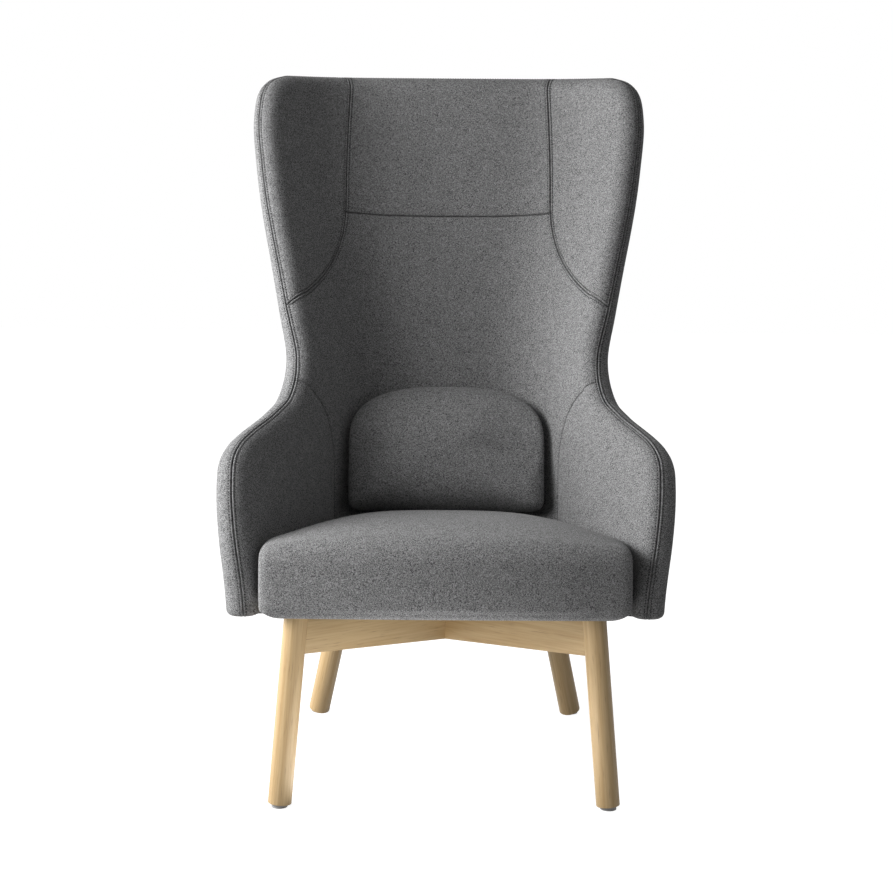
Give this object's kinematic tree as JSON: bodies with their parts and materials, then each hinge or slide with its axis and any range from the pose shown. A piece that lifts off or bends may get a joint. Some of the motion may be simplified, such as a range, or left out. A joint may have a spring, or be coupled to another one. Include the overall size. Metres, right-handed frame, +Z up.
{
  "type": "acoustic high back lounge chair",
  "caption": "High-back lounge chair: felted wool shell with head wings and arms, fixed upholstered seat, loose lumbar pillow and a splayed oak leg base with cross beams.",
  "frame": {"origin": "on the floor, under the middle of the chair's overall width and depth", "axes": "+X to the right seen from the front, +Y towards the back, +Z up; the chair faces -Y"},
  "size_m": [0.7344, 0.7374, 1.162],
  "materials": {
    "wool": "felted melange wool, matte",
    "oak": "clear satin lacquer, fine straight grain",
    "plywood": "raw plywood",
    "foam": "open foam",
    "lining": "black non-woven lining",
    "steel": "zinc plated",
    "glide_plastic": "light grey, matte",
    "zip_plastic": "grey coil zip"
  },
  "bodies": {
    "chair": {"cross_beam_left": "oak", "cross_beam_left_screw_front": "steel", "cross_beam_left_screw_rear": "steel", "cross_beam_right": "oak", "cross_beam_right_screw_front": "steel", "cross_beam_right_screw_rear": "steel", "cross_lap_screw": "steel", "leg_front_left": "oak", "glide_front_left": "glide_plastic", "leg_bolt_front_left": "steel", "leg_front_right": "oak", "glide_front_right": "glide_plastic", "leg_bolt_front_right": "steel", "leg_rear_left": "oak", "glide_rear_left": "glide_plastic", "leg_bolt_rear_left": "steel", "leg_rear_right": "oak", "glide_rear_right": "glide_plastic", "leg_bolt_rear_right": "steel", "shell_board": "plywood", "shell_foam": "foam", "headrest_cover": "wool", "inner_back_cover": "wool", "wing_cover_left": "wool", "wing_cover_right": "wool", "arm_cover_left": "wool", "arm_cover_right": "wool", "outer_side_cover_left": "wool", "outer_back_cover": "wool", "outer_side_cover_right": "wool", "base_board": "plywood", "base_lining": "lining", "seat_lining": "lining", "seat_pan": "plywood", "seat_foam": "foam", "seat_side_cover_left": "wool", "seat_cover": "wool", "seat_side_cover_right": "wool", "seat_screw_front_left": "steel", "seat_screw_front_right": "steel", "seat_screw_rear_left": "steel", "seat_screw_rear_right": "steel", "shell_screw_arm_left": "steel", "shell_screw_corner_left": "steel", "shell_screw_back_left": "steel", "shell_screw_back_right": "steel", "shell_screw_corner_right": "steel", "shell_screw_arm_right": "steel"},
    "lumbar_pillow": {"lumbar_pillow_cover": "wool", "lumbar_pillow_filling": "foam", "lumbar_pillow_zip": "zip_plastic"}
  },
  "joints": [
    {"name": "lumbar_pillow_lift", "type": "slide", "parent": "chair", "child": "lumbar_pillow", "axis": [0, -0.7071, 0.7071], "range_m": [0, 0.6]}
  ]
}
